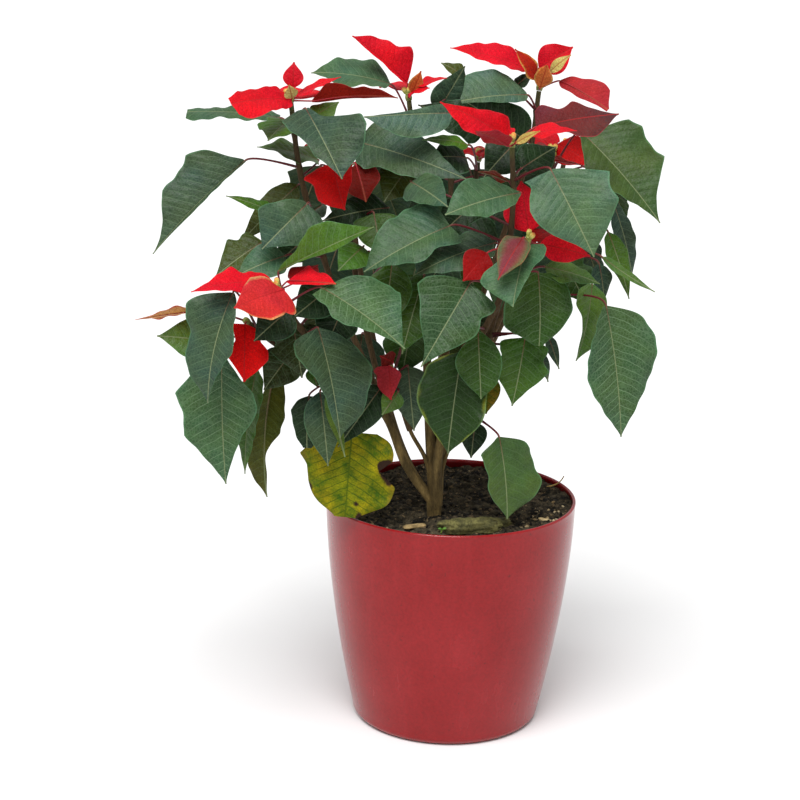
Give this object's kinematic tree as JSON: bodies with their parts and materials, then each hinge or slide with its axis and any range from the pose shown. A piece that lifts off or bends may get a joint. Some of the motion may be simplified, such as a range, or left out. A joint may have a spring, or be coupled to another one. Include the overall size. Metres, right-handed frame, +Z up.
{
  "type": "poinsettia in a pot",
  "caption": "Bushy poinsettia with red bracts and pointed green leaves on woody stems, growing in a tapered glossy red plastic pot of soil.",
  "frame": {"origin": "centre of the pot's flat base", "axes": "+Z up along the pot's axis, the front of the plant towards -Y"},
  "size_m": [0.4901, 0.4091, 0.6821],
  "materials": {
    "pot_plastic": "glossy red moulded plastic",
    "potting_soil": "moist dark potting soil",
    "bark": "mossy bark",
    "pale_wood": "dry pale wood chip",
    "woody_stem": "brown woody stem",
    "leaf_green": "matt dark green leaf",
    "bract_red": "soft red bract",
    "bud_green": "yellow-green flower bud"
  },
  "bodies": {
    "root": {"bark_piece": "bark", "center_right_bracts": "bract_red", "center_right_buds": "bud_green", "center_right_leaves": "leaf_green", "far_left_bracts": "bract_red", "far_left_leaves": "leaf_green", "left_front_bracts": "bract_red", "left_front_buds": "bud_green", "left_front_leaves": "leaf_green", "left_inner_bracts": "bract_red", "left_inner_leaves": "leaf_green", "low_center_bracts": "bract_red", "low_center_leaves": "leaf_green", "low_right_leaves": "leaf_green", "middle_back_bracts": "bract_red", "middle_back_buds": "bud_green", "middle_back_leaves": "leaf_green", "pot": "pot_plastic", "rear_left_bracts": "bract_red", "rear_left_buds": "bud_green", "rear_left_leaves": "leaf_green", "rear_middle_bracts": "bract_red", "rear_middle_buds": "bud_green", "rear_middle_leaves": "leaf_green", "rear_right_bracts": "bract_red", "rear_right_buds": "bud_green", "rear_right_leaves": "leaf_green", "right_back_bracts": "bract_red", "right_back_buds": "bud_green", "right_back_leaves": "leaf_green", "right_front_bracts": "bract_red", "right_front_buds": "bud_green", "right_front_leaves": "leaf_green", "soil": "potting_soil", "top_center_bracts": "bract_red", "top_center_buds": "bud_green", "top_center_leaves": "leaf_green", "top_right_bracts": "bract_red", "top_right_buds": "bud_green", "top_right_leaves": "leaf_green", "trunk": "woody_stem", "upper_left_bracts": "bract_red", "upper_left_buds": "bud_green", "upper_left_leaves": "leaf_green", "wood_chip_left": "pale_wood", "wood_chip_right": "pale_wood"}
  },
  "joints": []
}
